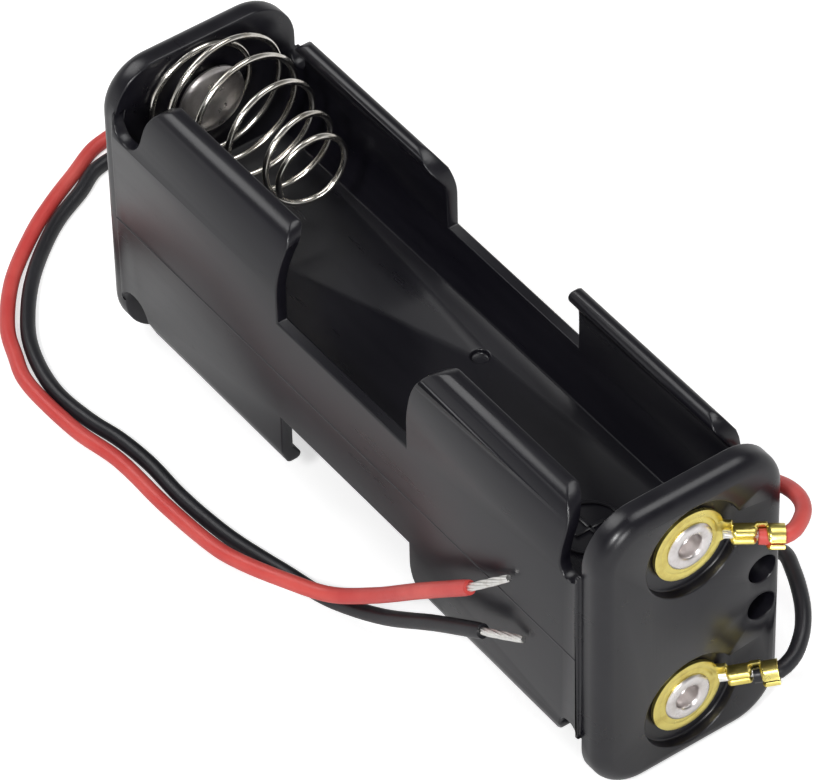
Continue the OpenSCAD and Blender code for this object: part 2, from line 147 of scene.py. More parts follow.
class Maths:
    """A socket in an expression: each operator adds a Math node."""

    def __init__(self, tree: Tree, socket: bpy.types.NodeSocket) -> None:
        """Args:
        tree: where the Math nodes go.
        socket: the value that this stands for.
        """
        self.tree = tree
        self.socket = socket

    def _with(self, operation: str, first: object, second: object = 0.0, third: object = 0.0) -> "Maths":
        """Adds a Math node and returns its result."""
        made = self.tree.node("ShaderNodeMath", {"operation": operation}, {0: first, 1: second, 2: third})
        return Maths(self.tree, made.outputs[0])

    def __add__(self, other: object) -> "Maths":
        """self + other."""
        return self._with("ADD", self, other)

    __radd__ = __add__

    def __mul__(self, other: object) -> "Maths":
        """self * other."""
        return self._with("MULTIPLY", self, other)

    __rmul__ = __mul__

    def __sub__(self, other: object) -> "Maths":
        """self - other."""
        return self._with("SUBTRACT", self, other)

    def __rsub__(self, other: object) -> "Maths":
        """other - self."""
        return self._with("SUBTRACT", other, self)

    def __truediv__(self, other: object) -> "Maths":
        """self / other."""
        return self._with("DIVIDE", self, other)

    def __abs__(self) -> "Maths":
        """Its size without its sign."""
        return self._with("ABSOLUTE", self)

    def __pow__(self, other: object) -> "Maths":
        """self raised to a power."""
        return self._with("POWER", self, other)

    def floored(self) -> "Maths":
        """The whole number below it."""
        return self._with("FLOOR", self)

    def below(self, other: object) -> "Maths":
        """1 where self is less than other, and 0 elsewhere."""
        return self._with("LESS_THAN", self, other)

    def sine(self) -> "Maths":
        """Its sine."""
        return self._with("SINE", self)

    def cosine(self) -> "Maths":
        """Its cosine."""
        return self._with("COSINE", self)

    def ramp(self, low: float, high: float, start: float = 0.0, end: float = 1.0) -> "Maths":
        """Rises from start to end as self goes from low to high, and stays level outside.

        Args:
            low: the value at which the rise begins.
            high: the value at which it ends.
            start: the result at low.
            end: the result at high.

        Returns:
            The result.
        """
        made = self.tree.node(
            "ShaderNodeMapRange", {"clamp": True}, {0: self, 1: low, 2: high, 3: start, 4: end}
        )
        return Maths(self.tree, made.outputs[0])


# ---------------------------------------------------------------------------
# Finishes
# ---------------------------------------------------------------------------


@dataclass(frozen=True)
class Finish:
    """A surface finish that builds its own material."""

    name: str

    def material(self) -> bpy.types.Material:
        """Builds the material, or returns the one that is there already.

        Returns:
            The material.
        """
        found = bpy.data.materials.get(self.name)
        if found:
            return found
        made = bpy.data.materials.new(self.name)
        made.use_nodes = True
        made.node_tree.nodes.clear()
        tree = Tree(made.node_tree)
        shader = tree.node("ShaderNodeBsdfPrincipled")
        tree.node("ShaderNodeOutputMaterial", inputs={"Surface": shader.outputs[0]})
        self.shade(tree, shader)
        return made

    def shade(self, tree: Tree, shader: bpy.types.Node) -> None:
        """Feeds the shader. Each finish has its own way.

        Args:
            tree: the material's tree.
            shader: its Principled BSDF.
        """
        raise NotImplementedError

    @staticmethod
    def place(tree: Tree) -> bpy.types.NodeSocket:
        """The point on the piece, in metres."""
        return tree.node("ShaderNodeTexCoord").outputs["Object"]

    def noise(self, tree: Tree, scale: float, detail: float = 3.0, rough: float = 0.5,
              stretch: Point = (1.0, 1.0, 1.0)) -> Maths:
        """Noise over the piece.

        Args:
            tree: the material's tree.
            scale: bumps in a metre.
            detail: octaves.
            rough: how strong the fine octaves are.
            stretch: scale along each axis, below 1 to draw the noise out.

        Returns:
            The noise, about 0.5 on average.
        """
        spread = tree.node("ShaderNodeMapping", None, {"Vector": self.place(tree), "Scale": stretch})
        made = tree.node(
            "ShaderNodeTexNoise", None,
            {"Vector": spread.outputs[0], "Scale": scale, "Detail": detail, "Roughness": rough},
        )
        return tree.value(made.outputs["Fac"])

    @staticmethod
    def mix(tree: Tree, factor: object, low: Point, high: Point) -> bpy.types.NodeSocket:
        """Blends two colours.

        Args:
            tree: the material's tree.
            factor: 0 for low, 1 for high.
            low: the first colour.
            high: the second colour.

        Returns:
            The blended colour.
        """
        made = tree.node("ShaderNodeMix", {"data_type": "RGBA"}, {0: factor, 6: (*low, 1.0), 7: (*high, 1.0)})
        return made.outputs[2]

    @staticmethod
    def bump(tree: Tree, height: object, depth: float) -> bpy.types.NodeSocket:
        """Turns a height into a normal.

        Args:
            tree: the material's tree.
            height: the height, 0 to 1.
            depth: how deep 1 is, in metres.

        Returns:
            The normal.
        """
        made = tree.node("ShaderNodeBump", None, {"Strength": 1.0, "Distance": depth, "Height": height})
        return made.outputs[0]


@dataclass(frozen=True)
class MouldedPlastic(Finish):
    """Black moulded plastic: slow sink waves, flow lines along the part, light scuffs and a fine grain."""

    colour: Point = (0.0052, 0.0048, 0.0078)
    worn: Point = (0.0100, 0.0094, 0.0135)
    gloss: float = 0.27

    def shade(self, tree: Tree, shader: bpy.types.Node) -> None:
        """Feeds colour, roughness and a shallow bump."""
        sink = self.noise(tree, 55.0, 1.0, 0.4)
        flow = self.noise(tree, 700.0, 3.0, 0.55, (0.12, 1.0, 1.0))
        scuffs = self.noise(tree, 1900.0, 5.0, 0.7, (0.5, 1.0, 1.3)).ramp(0.60, 0.78)
        grain = self.noise(tree, 6500.0, 2.0)
        tree.feed(shader.inputs["Base Color"],
                  self.mix(tree, flow.ramp(0.35, 0.7) * 0.6 + scuffs * 0.4, self.colour, self.worn))
        tree.feed(shader.inputs["Roughness"], self.gloss + flow.ramp(0.3, 0.75) * 0.05 + scuffs * 0.09)
        tree.feed(shader.inputs["Normal"], self.bump(tree, sink * 1.6 + flow * 0.05 + grain * 0.022, 40e-6))
        shader.inputs["IOR"].default_value = 1.52


@dataclass(frozen=True)
class PlatedMetal(Finish):
    """Plated or bare metal with handling marks, fine scratches and a little tarnish."""

    colour: Point = (0.80, 0.79, 0.77)
    tarnish: Point = (0.55, 0.53, 0.49)
    gloss: float = 0.2
    patch: float = 900.0
    relief: float = 6e-6

    def shade(self, tree: Tree, shader: bpy.types.Node) -> None:
        """Feeds colour, roughness and a fine bump."""
        patches = self.noise(tree, self.patch, 4.0, 0.6)
        fine = self.noise(tree, self.patch * 8.0, 3.0, 0.65)
        scratches = self.noise(tree, self.patch * 5.0, 2.0, 0.5, (1.0, 0.15, 1.0)).ramp(0.62, 0.7)
        tree.feed(shader.inputs["Base Color"],
                  self.mix(tree, patches.ramp(0.48, 0.74), self.colour, self.tarnish))
        tree.feed(shader.inputs["Roughness"],
                  self.gloss + patches.ramp(0.35, 0.8) * 0.14 + scratches * 0.08)
        tree.feed(shader.inputs["Normal"], self.bump(tree, fine * 0.8 + scratches * 0.3, self.relief))
        shader.inputs["Metallic"].default_value = 1.0


@dataclass(frozen=True)
class Insulation(Finish):
    """Extruded soft plastic over a lead."""

    colour: Point = (0.60, 0.055, 0.05)
    pale: Point = (0.70, 0.10, 0.085)
    gloss: float = 0.36

    def shade(self, tree: Tree, shader: bpy.types.Node) -> None:
        """Feeds colour, roughness and the faint lay of the strands beneath."""
        cloud = self.noise(tree, 260.0, 3.0)
        fine = self.noise(tree, 4200.0, 3.0)
        smears = self.noise(tree, 1300.0, 4.0, 0.65).ramp(0.55, 0.75)
        tree.feed(shader.inputs["Base Color"], self.mix(tree, cloud.ramp(0.35, 0.7), self.colour, self.pale))
        tree.feed(shader.inputs["Roughness"], self.gloss + fine.ramp(0.3, 0.8) * 0.1 + smears * 0.08)
        tree.feed(shader.inputs["Normal"], self.bump(tree, cloud * 0.7 + fine * 0.06, 30e-6))


@dataclass(frozen=True)
class StudioFloor(Finish):
    """Pale floor that still shows the object's shadow."""

    base: float = 0.80
    lift: float = 0.58

    def shade(self, tree: Tree, shader: bpy.types.Node) -> None:
        """A matt white, lifted for the camera and a little for reflections."""
        ray = tree.node("ShaderNodeLightPath")
        seen = tree.value(ray.outputs["Is Camera Ray"])
        mirrored = tree.value(ray.outputs["Is Glossy Ray"]) + tree.value(ray.outputs["Is Transmission Ray"])
        shown = seen + mirrored * 0.12
        shader.inputs["Base Color"].default_value = (self.base, self.base, self.base, 1.0)
        shader.inputs["Roughness"].default_value = 0.9
        shader.inputs["Specular IOR Level"].default_value = 0.1
        shader.inputs["Emission Strength"].default_value = 1.0
        lifted = (self.lift, self.lift, self.lift)
        tree.feed(shader.inputs["Emission Color"], self.mix(tree, shown, (0.0, 0.0, 0.0), lifted))


PLASTIC = MouldedPlastic("moulded_black_plastic")
SPRING_WIRE = PlatedMetal("nickel_spring_wire", (0.86, 0.83, 0.77), (0.55, 0.50, 0.42), 0.13, 700.0, 5e-6)
RIVET_TIN = PlatedMetal("tinned_rivet", (0.88, 0.84, 0.83), (0.66, 0.62, 0.60), 0.26, 800.0, 6e-6)
BRASS = PlatedMetal("stamped_brass", (0.90, 0.77, 0.24), (0.70, 0.55, 0.14), 0.27, 600.0, 6e-6)
TINNED = PlatedMetal("tinned_copper_strands", (0.88, 0.87, 0.84), (0.62, 0.59, 0.55), 0.28, 1800.0, 10e-6)
RED_SKIN = Insulation("red_insulation")
BLACK_SKIN = Insulation("black_insulation", (0.008, 0.008, 0.011), (0.017, 0.017, 0.021), 0.33)
FLOOR = StudioFloor("studio_floor")


# ---------------------------------------------------------------------------
# Mesh helpers
# ---------------------------------------------------------------------------


def tidy_shading(mesh: bpy.types.Mesh, angle: float = 34.0) -> None:
    """Shades a mesh smooth, with sharp edges where it turns by more than an angle.

    Args:
        mesh: the mesh.
        angle: the angle, in degrees.
    """
    for face in mesh.polygons:
        face.use_smooth = True
    mesh.set_sharp_from_angle(angle=math.radians(angle))


def mesh_object(name: str, verts: list, faces: list, finish: Finish, angle: float = 34.0) -> bpy.types.Object:
    """Makes a closed mesh object at the origin, its faces pointing outwards.

    Args:
        name: its name.
        verts: its points, in metres.
        faces: its faces.
        finish: its finish.
        angle: the edge angle, in degrees, above which an edge stays sharp.

    Returns:
        The object.
    """
    mesh = bpy.data.meshes.new(name)
    mesh.from_pydata([tuple(v) for v in verts], [], faces)
    work = bmesh.new()
    work.from_mesh(mesh)
    return from_work(name, work, finish, angle)


def from_work(name: str, work: bmesh.types.BMesh, finish: Finish, angle: float = 34.0) -> bpy.types.Object:
    """Turns a working mesh into an object at the origin, and frees the working mesh.

    Args:
        name: the object's name.
        work: the working mesh.
        finish: its finish.
        angle: the edge angle, in degrees, above which an edge stays sharp.

    Returns:
        The object.
    """
    bmesh.ops.recalc_face_normals(work, faces=work.faces)
    mesh = bpy.data.meshes.new(name)
    work.to_mesh(mesh)
    work.free()
    mesh.materials.append(finish.material())
    tidy_shading(mesh, angle)
    made = bpy.data.objects.new(name, mesh)
    bpy.context.collection.objects.link(made)
    return made


def settle(piece: bpy.types.Object, node: str | None) -> None:
    """Lets a finished piece ride on the holder.

    Args:
        piece: the piece.
        node: the solid that it stands for, if any.
    """
    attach(piece, "holder")
    if node:
        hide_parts(node)
    log.info("%s: %d faces", piece.name, len(piece.data.polygons))


def rounded_copy(node: str, name: str, finish: Finish, edge: float, sharp: float = 26.0) -> bpy.types.Object:
    """Copies a solid's mesh, merges its triangles and rounds its edges.

    Args:
        node: the solid.
        name: the copy's name.
        finish: its finish.
        edge: the width of the rounding, in metres.
        sharp: the edge angle, in degrees, from which an edge is rounded.

    Returns:
        The copy.
    """
    work = bmesh.new()
    work.from_mesh(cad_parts[node].data)
    bmesh.ops.remove_doubles(work, verts=work.verts, dist=0.002 * MM)
    bmesh.ops.dissolve_limit(work, angle_limit=math.radians(0.6), verts=work.verts, edges=work.edges)
    limit = math.radians(sharp)
    edges = [e for e in work.edges if len(e.link_faces) == 2 and e.calc_face_angle(0.0) > limit]
    bmesh.ops.bevel(work, geom=edges, offset=edge, offset_type="OFFSET", segments=2, profile=0.5,
                    affect="EDGES", clamp_overlap=False)
    bmesh.ops.remove_doubles(work, verts=work.verts, dist=0.002 * MM)
    bmesh.ops.triangulate(work, faces=[f for f in work.faces if len(f.verts) > 4])
    return from_work(name, work, finish)


def smooth_path(points: list[Point], step: float) -> list[Vector]:
    """A smooth curve through points.

    Args:
        points: the points it passes, in metres.
        step: the distance between the points that it returns, about.

    Returns:
        Points along a Catmull-Rom curve.
    """
    knots = [Vector(p) for p in points]
    knots = [2 * knots[0] - knots[1]] + knots + [2 * knots[-1] - knots[-2]]
    path = []
    for a, b, c, d in zip(knots, knots[1:], knots[2:], knots[3:]):
        count = max(2, round((c - b).length / step))
        for i in range(count):
            t = i / count
            path.append(0.5 * (2 * b + (c - a) * t + (2 * a - 5 * b + 4 * c - d) * t * t
                               + (3 * b - a - 3 * c + d) * t ** 3))
    path.append(knots[-2])
    return path


def even_points(line: list[Flat], count: int) -> list[Flat]:
    """Spreads points evenly along a smooth flat curve.

    Args:
        line: the points that the curve passes.
        count: how many points to return.

    Returns:
        The points.
    """
    fine = smooth_path([(a, b, 0.0) for a, b in line], 0.02)
    gone = [0.0]
    for a, b in zip(fine, fine[1:]):
        gone.append(gone[-1] + (b - a).length)
    spread, k = [], 0
    for i in range(count):
        want = gone[-1] * i / (count - 1)
        while k < len(gone) - 2 and gone[k + 1] < want:
            k += 1
        share = (want - gone[k]) / max(gone[k + 1] - gone[k], 1e-12)
        here = fine[k].lerp(fine[k + 1], min(max(share, 0.0), 1.0))
        spread.append((here.x, here.y))
    return spread


def sweep(path: list[Vector], sections: list[list[Flat]], closed: bool = True) -> tuple[list, list]:
    """Carries a closed section along a path without twisting it.

    Args:
        path: the centre line.
        sections: the section's points across the path, one list for each point of the path.
        closed: whether the two ends are capped.

    Returns:
        Points and faces.
    """
    side = Vector((0, 0, 1))
    verts, faces = [], []
    n = len(sections[0])
    for i, here in enumerate(path):
        along = (path[min(i + 1, len(path) - 1)] - path[max(i - 1, 0)]).normalized()
        side = (side - along * side.dot(along)).normalized()
        other = along.cross(side)
        verts += [here + side * a + other * b for a, b in sections[i]]
        if i:
            base = (i - 1) * n
            faces += [(base + k, base + (k + 1) % n, base + n + (k + 1) % n, base + n + k) for k in range(n)]
    if closed:
        faces.append(tuple(range(n - 1, -1, -1)))
        faces.append(tuple(range((len(path) - 1) * n, len(path) * n)))
    return verts, faces


def ring(radius: float, sides: int) -> list[Flat]:
    """Points round a circle."""
    turns = [math.tau * k / sides for k in range(sides)]
    return [(radius * math.cos(a), radius * math.sin(a)) for a in turns]


# ---------------------------------------------------------------------------
# Geometry Nodes
# ---------------------------------------------------------------------------


@dataclass
class NodeMaker:
    """A Geometry Nodes tree with named sizes, whose result is kept as a plain mesh."""

    name: str
    finish: Finish
    sizes: dict[str, float] = field(default_factory=dict)
    group: bpy.types.NodeTree | None = None

    def wire(self, tree: Tree, given: bpy.types.Node, size: dict[str, Maths]) -> bpy.types.NodeSocket:
        """Makes the nodes. Each maker has its own way.

        Args:
            tree: the tree.
            given: its input node.
            size: the named sizes.

        Returns:
            The socket of the finished geometry.
        """
        raise NotImplementedError

    def build(self) -> None:
        """Builds the tree, which ends in Realize Instances and Set Material."""
        self.group = bpy.data.node_groups.new(self.name, "GeometryNodeTree")
        face = self.group.interface
        face.new_socket("Geometry", in_out="OUTPUT", socket_type="NodeSocketGeometry")
        face.new_socket("Geometry", in_out="INPUT", socket_type="NodeSocketGeometry")
        for name, value in self.sizes.items():
            face.new_socket(name, in_out="INPUT", socket_type="NodeSocketFloat").default_value = value
        tree = Tree(self.group)
        given = tree.node("NodeGroupInput")
        size = {name: tree.value(given.outputs[name]) for name in self.sizes}
        shape = self.wire(tree, given, size)
        soft = tree.node("GeometryNodeSetShadeSmooth", None, {"Geometry": shape})
        real = tree.node("GeometryNodeRealizeInstances", None, {"Geometry": soft.outputs[0]})
        dressed = tree.node("GeometryNodeSetMaterial", None,
                            {"Geometry": real.outputs[0], "Material": self.finish.material()})
        tree.node("NodeGroupOutput", None, {"Geometry": dressed.outputs[0]})

    def grow(self, name: str, place: Matrix, changes: dict[str, float] | None = None,
             seed_points: list[Point] | None = None, angle: float = 34.0) -> bpy.types.Object:
        """Runs the tree once and keeps its result.

        Args:
            name: the new object's name.
            place: where the result goes.
            changes: sizes that differ from the maker's own.
            seed_points: points that the tree reads from its Geometry input.
            angle: the edge angle, in degrees, above which an edge stays sharp.

        Returns:
            The mesh object, at the origin.
        """
        if self.group is None:
            self.build()
        start = bpy.data.meshes.new(name + "_seed")
        start.from_pydata(seed_points or [], [], [])
        seed = bpy.data.objects.new(name + "_seed", start)
        bpy.context.collection.objects.link(seed)
        modifier = seed.modifiers.new("grow", "NODES")
        modifier.node_group = self.group
        sockets = {s.name: s.identifier for s in self.group.interface.items_tree if s.in_out == "INPUT"}
        for label, value in (changes or {}).items():
            modifier[sockets[label]] = value
        graph = bpy.context.evaluated_depsgraph_get()
        mesh = bpy.data.meshes.new_from_object(seed.evaluated_get(graph), depsgraph=graph)
        seed.modifiers.clear()
        bpy.data.objects.remove(seed)
        mesh.transform(place)
        work = bmesh.new()
        work.from_mesh(mesh)
        return from_work(name, work, self.finish, angle)


@dataclass
class CoilMaker(NodeMaker):
    """Winds a conical contact spring."""

    lead_in: float = 0.75
    rings: int = 460
    sides: int = 14

    def wire(self, tree: Tree, given: bpy.types.Node, size: dict[str, Maths]) -> bpy.types.NodeSocket:
        """Winds the wire: flat turns under the rivet, then rising turns that narrow, then a flat last turn."""
        line = tree.node("GeometryNodeCurvePrimitiveLine", None, {"End": (1.0, 0.0, 0.0)})
        fine = tree.node("GeometryNodeResampleCurve", None, {"Curve": line.outputs[0], "Count": self.rings})
        share = tree.value(tree.node("GeometryNodeSplineParameter").outputs["Factor"])
        turns = size["Clamp Turns"] + size["Rising Turns"] + size["Closing Turns"]
        turn = share * turns - size["Clamp Turns"]
        spread = turn.ramp(-self.lead_in, 0.0)
        risen = (turn / size["Rising Turns"]).ramp(0.0, 1.0)
        radius = (size["Clamp Radius"] + (size["Big Radius"] - size["Clamp Radius"]) * spread
                  + (size["Small Radius"] - size["Big Radius"]) * risen ** size["Taper"])
        angle = size["Phase"] + turn * math.tau
        x = (size["Seat Gap"] + size["Wire Diameter"] * 0.5
             + risen ** size["Pitch"] * (size["Free Length"] - size["Wire Diameter"] - size["Seat Gap"]))
        y = spread * size["Off Side"] + risen * size["Lean"] + radius * angle.cosine()
        z = spread * size["Off Up"] + risen * size["Lean"] + radius * angle.sine()
        place = tree.node("ShaderNodeCombineXYZ", None, {0: x, 1: y, 2: z})
        wound = tree.node("GeometryNodeSetPosition", None,
                          {"Geometry": fine.outputs[0], "Position": place.outputs[0]})
        profile = tree.node("GeometryNodeCurvePrimitiveCircle", None,
                            {"Resolution": self.sides, "Radius": size["Wire Diameter"] * 0.5})
        wire = tree.node("GeometryNodeCurveToMesh", None,
                         {"Curve": wound.outputs[0], "Profile Curve": profile.outputs[0], "Fill Caps": True})
        return wire.outputs[0]


@dataclass
class StrandMaker(NodeMaker):
    """Lays six strands round a seventh."""

    strands: int = 7
    rings: int = 40
    sides: int = 9

    def wire(self, tree: Tree, given: bpy.types.Node, size: dict[str, Maths]) -> bpy.types.NodeSocket:
        """Copies a line for each strand and twists the copies together along X."""
        line = tree.node("GeometryNodeCurvePrimitiveLine", None, {"End": (1.0, 0.0, 0.0)})
        fine = tree.node("GeometryNodeResampleCurve", None, {"Curve": line.outputs[0], "Count": self.rings})
        copies = tree.node("GeometryNodeDuplicateElements", {"domain": "SPLINE"},
                           {"Geometry": fine.outputs[0], "Amount": self.strands})
        number = tree.value(copies.outputs["Duplicate Index"])
        share = tree.value(tree.node("GeometryNodeSplineParameter").outputs["Factor"])
        outer = 1 - number.below(0.5)
        squeeze = 1 - size["Taper"] * share ** 5.0
        angle = (number / (self.strands - 1) + share * size["Twists"]) * math.tau
        lay = outer * size["Lay Radius"] * squeeze
        place = tree.node("ShaderNodeCombineXYZ", None,
                          {0: share * size["Length"], 1: lay * angle.cosine(), 2: lay * angle.sine()})
        laid = tree.node("GeometryNodeSetPosition", None,
                         {"Geometry": copies.outputs["Geometry"], "Position": place.outputs[0]})
        profile = tree.node("GeometryNodeCurvePrimitiveCircle", None,
                            {"Resolution": self.sides, "Radius": size["Strand Diameter"] * 0.5})
        wire = tree.node("GeometryNodeCurveToMesh", None,
                         {"Curve": laid.outputs[0], "Profile Curve": profile.outputs[0], "Fill Caps": True})
        return wire.outputs[0]


@dataclass
class LatheMaker(NodeMaker):
    """Turns an outline, given as points of position along X and radius, round the X axis."""

    sides: int = 97
    points: int = 30

    def wire(self, tree: Tree, given: bpy.types.Node, size: dict[str, Maths]) -> bpy.types.NodeSocket:
        """Bends a grid: its rows follow the outline and its columns go round."""
        grid = tree.node("GeometryNodeMeshGrid", None,
                         {"Size X": 1.0, "Size Y": 1.0, "Vertices X": self.points, "Vertices Y": self.sides})
        index = tree.value(tree.node("GeometryNodeInputIndex").outputs[0])
        row = ((index + 0.5) / float(self.sides)).floored()
        angle = (index - row * float(self.sides)) * (math.tau / (self.sides - 1))
        where = tree.node("GeometryNodeInputPosition")
        read = tree.node("GeometryNodeSampleIndex", {"data_type": "FLOAT_VECTOR"},
                         {"Geometry": given.outputs["Geometry"], "Value": where.outputs[0], "Index": row})
        apart = tree.node("ShaderNodeSeparateXYZ", None, {0: read.outputs[0]})
        radius = tree.value(apart.outputs[1]) * size["Girth"]
        place = tree.node("ShaderNodeCombineXYZ", None,
                          {0: apart.outputs[0], 1: radius * angle.cosine(), 2: radius * angle.sine()})
        bent = tree.node("GeometryNodeSetPosition", None,
                         {"Geometry": grid.outputs[0], "Position": place.outputs[0]})
        shut = tree.node("GeometryNodeMergeByDistance", None,
                         {"Geometry": bent.outputs[0], "Distance": 0.001 * MM})
        return shut.outputs[0]


# ---------------------------------------------------------------------------
# Shell
# ---------------------------------------------------------------------------


@dataclass
class Shell:
    """The moulded body: rounded edges, parting ridges and the polarity marks in its two floors."""

    edge: float = 0.13 * MM
    ridge_half: float = 0.10 * MM
    ridge_proud: float = 0.04 * MM
    mark_x: float = 19.1 * MM
    mark_y: float = -0.4 * MM
    mark_r: float = 2.5 * MM
    mark_w: float = 0.34 * MM
    mark_h: float = 0.12 * MM
    arm: float = 1.35 * MM

    def ridge(self, side: int) -> tuple[list, list]:
        """The thin line that the mould's two halves leave along one side wall.

        Args:
            side: -1 or 1.

        Returns:
            Points and faces.
        """
        reach = PLAN.plate_inner - 0.1 * MM
        path = [Vector((-reach + 2 * reach * i / 40, side * PLAN.wall_outer, PLAN.middle)) for i in range(41)]
        h, p = self.ridge_half, self.ridge_proud
        section = [(-h, 0.0), (-h * 0.6, -p * 0.7 * side), (0.0, -p * side), (h * 0.6, -p * 0.7 * side),
                   (h, 0.0), (0.0, 0.04 * MM * side)]
        return sweep(path, [section] * len(path))

    def mark(self, x: float, floor: float, up: int) -> list[tuple[list, list]]:
        """A raised ring with a cross in it, which shows the way a cell goes in.

        Args:
            x: the ring's centre along the holder.
            floor: the height of the floor that it stands on.
            up: 1 where the floor looks up, -1 where it looks down.

        Returns:
            Points and faces of each of its bars.
        """
        w, h = self.mark_w / 2, self.mark_h
        section = [(-w, -0.05 * MM), (-w, h * 0.55), (-w * 0.55, h), (w * 0.55, h), (w, h * 0.55), (w, -0.05 * MM)]
        verts, faces = [], []
        turns, n = 72, len(section)
        for i in range(turns):
            a = math.tau * i / turns
            verts += [Vector((x + (self.mark_r + b) * math.cos(a), self.mark_y + (self.mark_r + b) * math.sin(a),
                              floor + up * c)) for b, c in section]
            after = (i + 1) % turns
            faces += [(i * n + k, i * n + (k + 1) % n, after * n + (k + 1) % n, after * n + k) for k in range(n)]
        shapes = [(verts, faces)]
        for across in (False, True):
            ends = [-self.arm, -self.arm + 0.1 * MM, self.arm - 0.1 * MM, self.arm]
            tops = [0.4, 1.0, 1.0, 0.4]
            verts, faces = [], []
            for i, (end, top) in enumerate(zip(ends, tops)):
                for b, c in section:
                    along, off = (b, end) if across else (end, b)
                    lift = c * top if c > 0 else c
                    verts.append(Vector((x + along, self.mark_y + off, floor + up * lift)))
                if i:
                    base = (i - 1) * n
                    faces += [(base + k, base + (k + 1) % n, base + n + (k + 1) % n, base + n + k) for k in range(n)]
            faces += [tuple(range(n)), tuple(range(len(verts) - n, len(verts)))]
            shapes.append((verts, faces))
        return shapes

    def build(self) -> None:
        """Builds the shell and its small relief."""
        settle(rounded_copy("holder_body", "moulded_shell", PLASTIC, self.edge), "holder_body")
        for name, side in (("near", -1), ("far", 1)):
            verts, faces = self.ridge(side)
            settle(mesh_object(f"parting_ridge_{name}", verts, faces, PLASTIC, 80.0), None)
        for name, x, floor, up in (("upper", self.mark_x, PLAN.web_top, 1), ("lower", -self.mark_x, PLAN.web_under, -1)):
            work = bmesh.new()
            for verts, faces in self.mark(x, floor, up):
                corners = [work.verts.new(v) for v in verts]
                for face in faces:
                    work.faces.new([corners[k] for k in face])
            settle(from_work(f"polarity_mark_{name}", work, PLASTIC), None)


# ---------------------------------------------------------------------------
# Leads and strands
# ---------------------------------------------------------------------------


class Polarity(Enum):
    """Which lead a piece belongs to."""

    RED = "red"
    BLACK = "black"


@dataclass
class CrimpFrame:
    """Where a lug lies: its rivet's height, its turn about the rivet and the rise of its crimp."""

    height: float
    turn: float
    rise: float = 33.0
    bend: float = 2.7 * MM

    def ring(self) -> Matrix:
        """From the lug's own frame, X outwards from the recess floor and Y along its neck."""
        return (Matrix.Translation((PLAN.recess_floor, 0, self.height))
                @ Matrix.Rotation(math.radians(self.turn), 4, "X"))

    def wire(self, lift: float, along: float) -> Matrix:
        """From a frame whose X axis runs along the crimped wire.

        Args:
            lift: height of the wire's axis over the strip.
            along: where the frame's origin lies along the strip.

        Returns:
            The placing matrix.
        """
        tip = Matrix.Translation((PLAN.brass, self.bend, 0)) @ Matrix.Rotation(math.radians(-self.rise), 4, "Z")
        return self.ring() @ tip @ Matrix.Translation((lift, along, 0)) @ Matrix.Rotation(math.radians(90), 4, "Z")


FRAMES = {Polarity.RED: CrimpFrame(20.7 * MM, -4.0), Polarity.BLACK: CrimpFrame(5.5 * MM, 12.0)}


@dataclass
class Lead:
    """One flying lead: insulation, strands in the lug and strands at the tip."""

    polarity: Polarity
    route: list[Point]
    reach: Point
    skin: Finish
    diameter: float = 1.2 * MM
    bundle: float = 0.65 * MM
    lug_start: float = 0.1 * MM
    lug_length: float = 2.45 * MM
    shrink: float = 0.05 * MM

    def path(self) -> list[Vector]:
        """The insulation's centre line, in metres."""
        return smooth_path([tuple(c * MM for c in p) for p in self.route], 0.5 * MM)

    def sections(self, path: list[Vector]) -> list[list[Flat]]:
        """The insulation's sections, a little uneven, with its cut ends rounded.

        Args:
            path: the centre line.

        Returns:
            One section for each point of the path.
        """
        made = []
        for i in range(len(path)):
            from_end = min(i, len(path) - 1 - i)
            end = (0.92, 0.985, 1.0)[min(from_end, 2)]
            swell = 1.0 + 0.006 * math.sin(i * 0.35) + 0.005 * math.sin(i * 0.83 + 1.0)
            made.append(ring(self.diameter / 2 * min(end * swell, 1.0), 22))
        return made

    def strands(self, maker: StrandMaker) -> list[bpy.types.Object]:
        """Lays the strands in the lug and at the tip.

        Args:
            maker: lays a bundle of strands along X.

        Returns:
            The two bundles.
        """
        name = self.polarity.value
        lift = self.bundle / 2 + 0.03 * MM
        inner = maker.grow(f"{name}_strands_in_lug", FRAMES[self.polarity].wire(lift, self.lug_start),
                           {"Length": self.lug_length, "Twists": 0.3, "Taper": 0.0})
        settle(inner, f"strands_{name}_in_lug")
        start = Vector(self.route[-1]) * MM
        turn = Vector(self.reach).to_track_quat("X", "Z").to_matrix().to_4x4()
        tip = maker.grow(f"{name}_tinned_tip", Matrix.Translation(start) @ turn,
                         {"Length": Vector(self.reach).length * MM, "Twists": 0.55, "Taper": 0.3})
        settle(tip, f"strands_{name}_tip")
        return [inner, tip]

    def build(self, maker: StrandMaker, lug: bpy.types.Object) -> None:
        """Args:
            maker: lays a bundle of strands along X.
            lug: the lug that the lead is crimped into; not used.
        """
        name = self.polarity.value
        path = self.path()
        verts, faces = sweep(path, self.sections(path))
        skin = mesh_object(f"{name}_lead", verts, faces, self.skin, 60.0)
        settle(skin, f"lead_{name}")
        length = sum((b - a).length for a, b in zip(path, path[1:]))
        self.strands(maker)
        log.info("%s lead: %.1f mm of insulation", name, length / MM)


